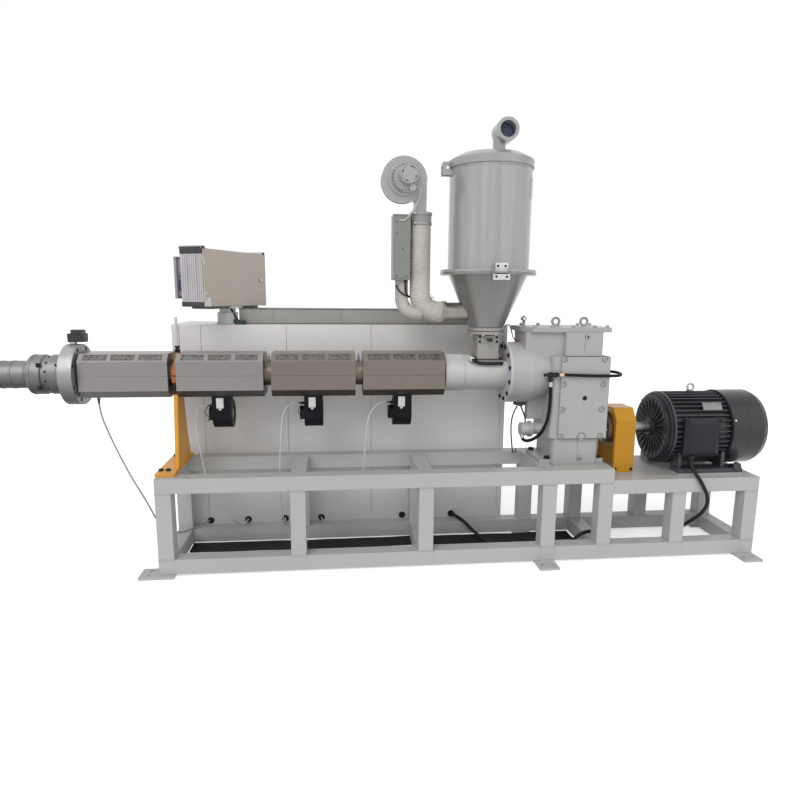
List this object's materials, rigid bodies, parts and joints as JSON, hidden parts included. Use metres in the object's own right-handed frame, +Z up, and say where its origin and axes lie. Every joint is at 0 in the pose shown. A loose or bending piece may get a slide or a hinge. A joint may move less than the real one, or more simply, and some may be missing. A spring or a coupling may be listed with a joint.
{
  "type": "plastic extruder",
  "caption": "Single-screw plastic extruder on a welded tube frame with heated barrel, hopper dryer, upright gearbox, finned motor and a control cabinet behind.",
  "frame": {"origin": "middle of the machine's outline, on the floor", "axes": "+X along the machine from the melt outlet to the motor, +Y from the open side to the cabinet, +Z up"},
  "size_m": [4.202, 1.05, 2.3764],
  "materials": {
    "frame_paint": "pale grey-green machine paint, satin",
    "plate_steel": "grey machine paint on ground steel, satin",
    "support_paint": "orange-yellow paint, gloss",
    "guard_paint": "yellow paint, gloss",
    "bright_steel": "turned steel",
    "cover_steel": "brushed stainless sheet",
    "white_paint": "white machine paint, satin",
    "gear_paint": "white paint on a casting",
    "black_plastic": "black, matt",
    "coupling_iron": "primed iron, red-brown",
    "motor_paint": "black-blue paint on a casting",
    "cowl_paint": "black-blue paint on sheet",
    "panel_alu": "anodised extrusion",
    "panel_tan": "warm grey paint, satin",
    "display_white": "off-white moulding",
    "hopper_paint": "grey paint, satin",
    "lagging": "wrapped lagging tape",
    "hose_black": "black hose and cable sheath",
    "lead_grey": "pale grey lead",
    "fitting_steel": "plated hose fittings",
    "duct_grey": "grey sheet duct, satin"
  },
  "bodies": {
    "machine": {"frame_posts": "frame_paint", "main_top_rails": "frame_paint", "lower_rails": "frame_paint", "cross_rails": "frame_paint", "foot_plates": "frame_paint", "machine_plates": "plate_steel", "barrel_support": "support_paint", "support_clamp": "support_paint", "barrel": "bright_steel", "head_flange": "bright_steel", "head_adapter": "bright_steel", "melt_sensor": "black_plastic", "heater_covers": "cover_steel", "cooling_blowers": "black_plastic", "feed_casting": "white_paint", "gearbox_housing": "gear_paint", "gearbox_cover": "gear_paint", "gearbox_lid": "gear_paint", "oil_pump": "gear_paint", "coupling_guard": "guard_paint", "motor_frame": "motor_paint", "motor_shields": "motor_paint", "terminal_box": "motor_paint", "fan_cowl": "cowl_paint", "cabinet": "white_paint", "cable_duct": "duct_grey", "panel_stand": "display_white", "hopper_cone": "hopper_paint", "hopper_base": "plate_steel", "blower_scroll": "hopper_paint", "blower_motor": "hopper_paint", "hot_air_pipe": "lagging", "air_duct": "bright_steel", "heater_box": "duct_grey", "oil_fittings": "fitting_steel", "oil_hose": "hose_black", "suction_hose": "hose_black", "fan_lead_1": "lead_grey", "fan_lead_2": "lead_grey", "fan_lead_3": "lead_grey", "head_lead": "lead_grey", "motor_cable": "hose_black"},
    "drive": {"drive_shafts": "bright_steel", "coupling": "coupling_iron", "motor_fan": "black_plastic"},
    "hopper": {"hopper_barrel": "hopper_paint"},
    "lid": {"hopper_lid": "hopper_paint", "exhaust_elbow": "hopper_paint"},
    "panel": {"panel_housing": "panel_alu", "display_unit": "display_white"},
    "door": {"panel_door": "panel_tan"}
  },
  "joints": [
    {"name": "motor_spin", "type": "hinge", "parent": "machine", "child": "drive", "pos_m": [1.322, -0.155, 0.704], "axis": [1, 0, 0], "continuous": true},
    {"name": "hopper_tilt", "type": "hinge", "parent": "machine", "child": "hopper", "pos_m": [0.482, -0.43, 1.583], "axis": [1, 0, 0], "range_deg": [0, 90]},
    {"name": "lid_swing", "type": "hinge", "parent": "hopper", "child": "lid", "pos_m": [0.226, -0.155, 2.143], "axis": [0, -1, 0], "range_deg": [0, 95]},
    {"name": "panel_swivel", "type": "hinge", "parent": "machine", "child": "panel", "pos_m": [-0.98, 0.175, 1.389], "axis": [0, 0, 1], "range_deg": [-90, 90]},
    {"name": "door_swing", "type": "hinge", "parent": "panel", "child": "door", "pos_m": [-1.04436, -0.12437, 1.54], "axis": [0, 0, -1], "range_deg": [0, 110]}
  ]
}
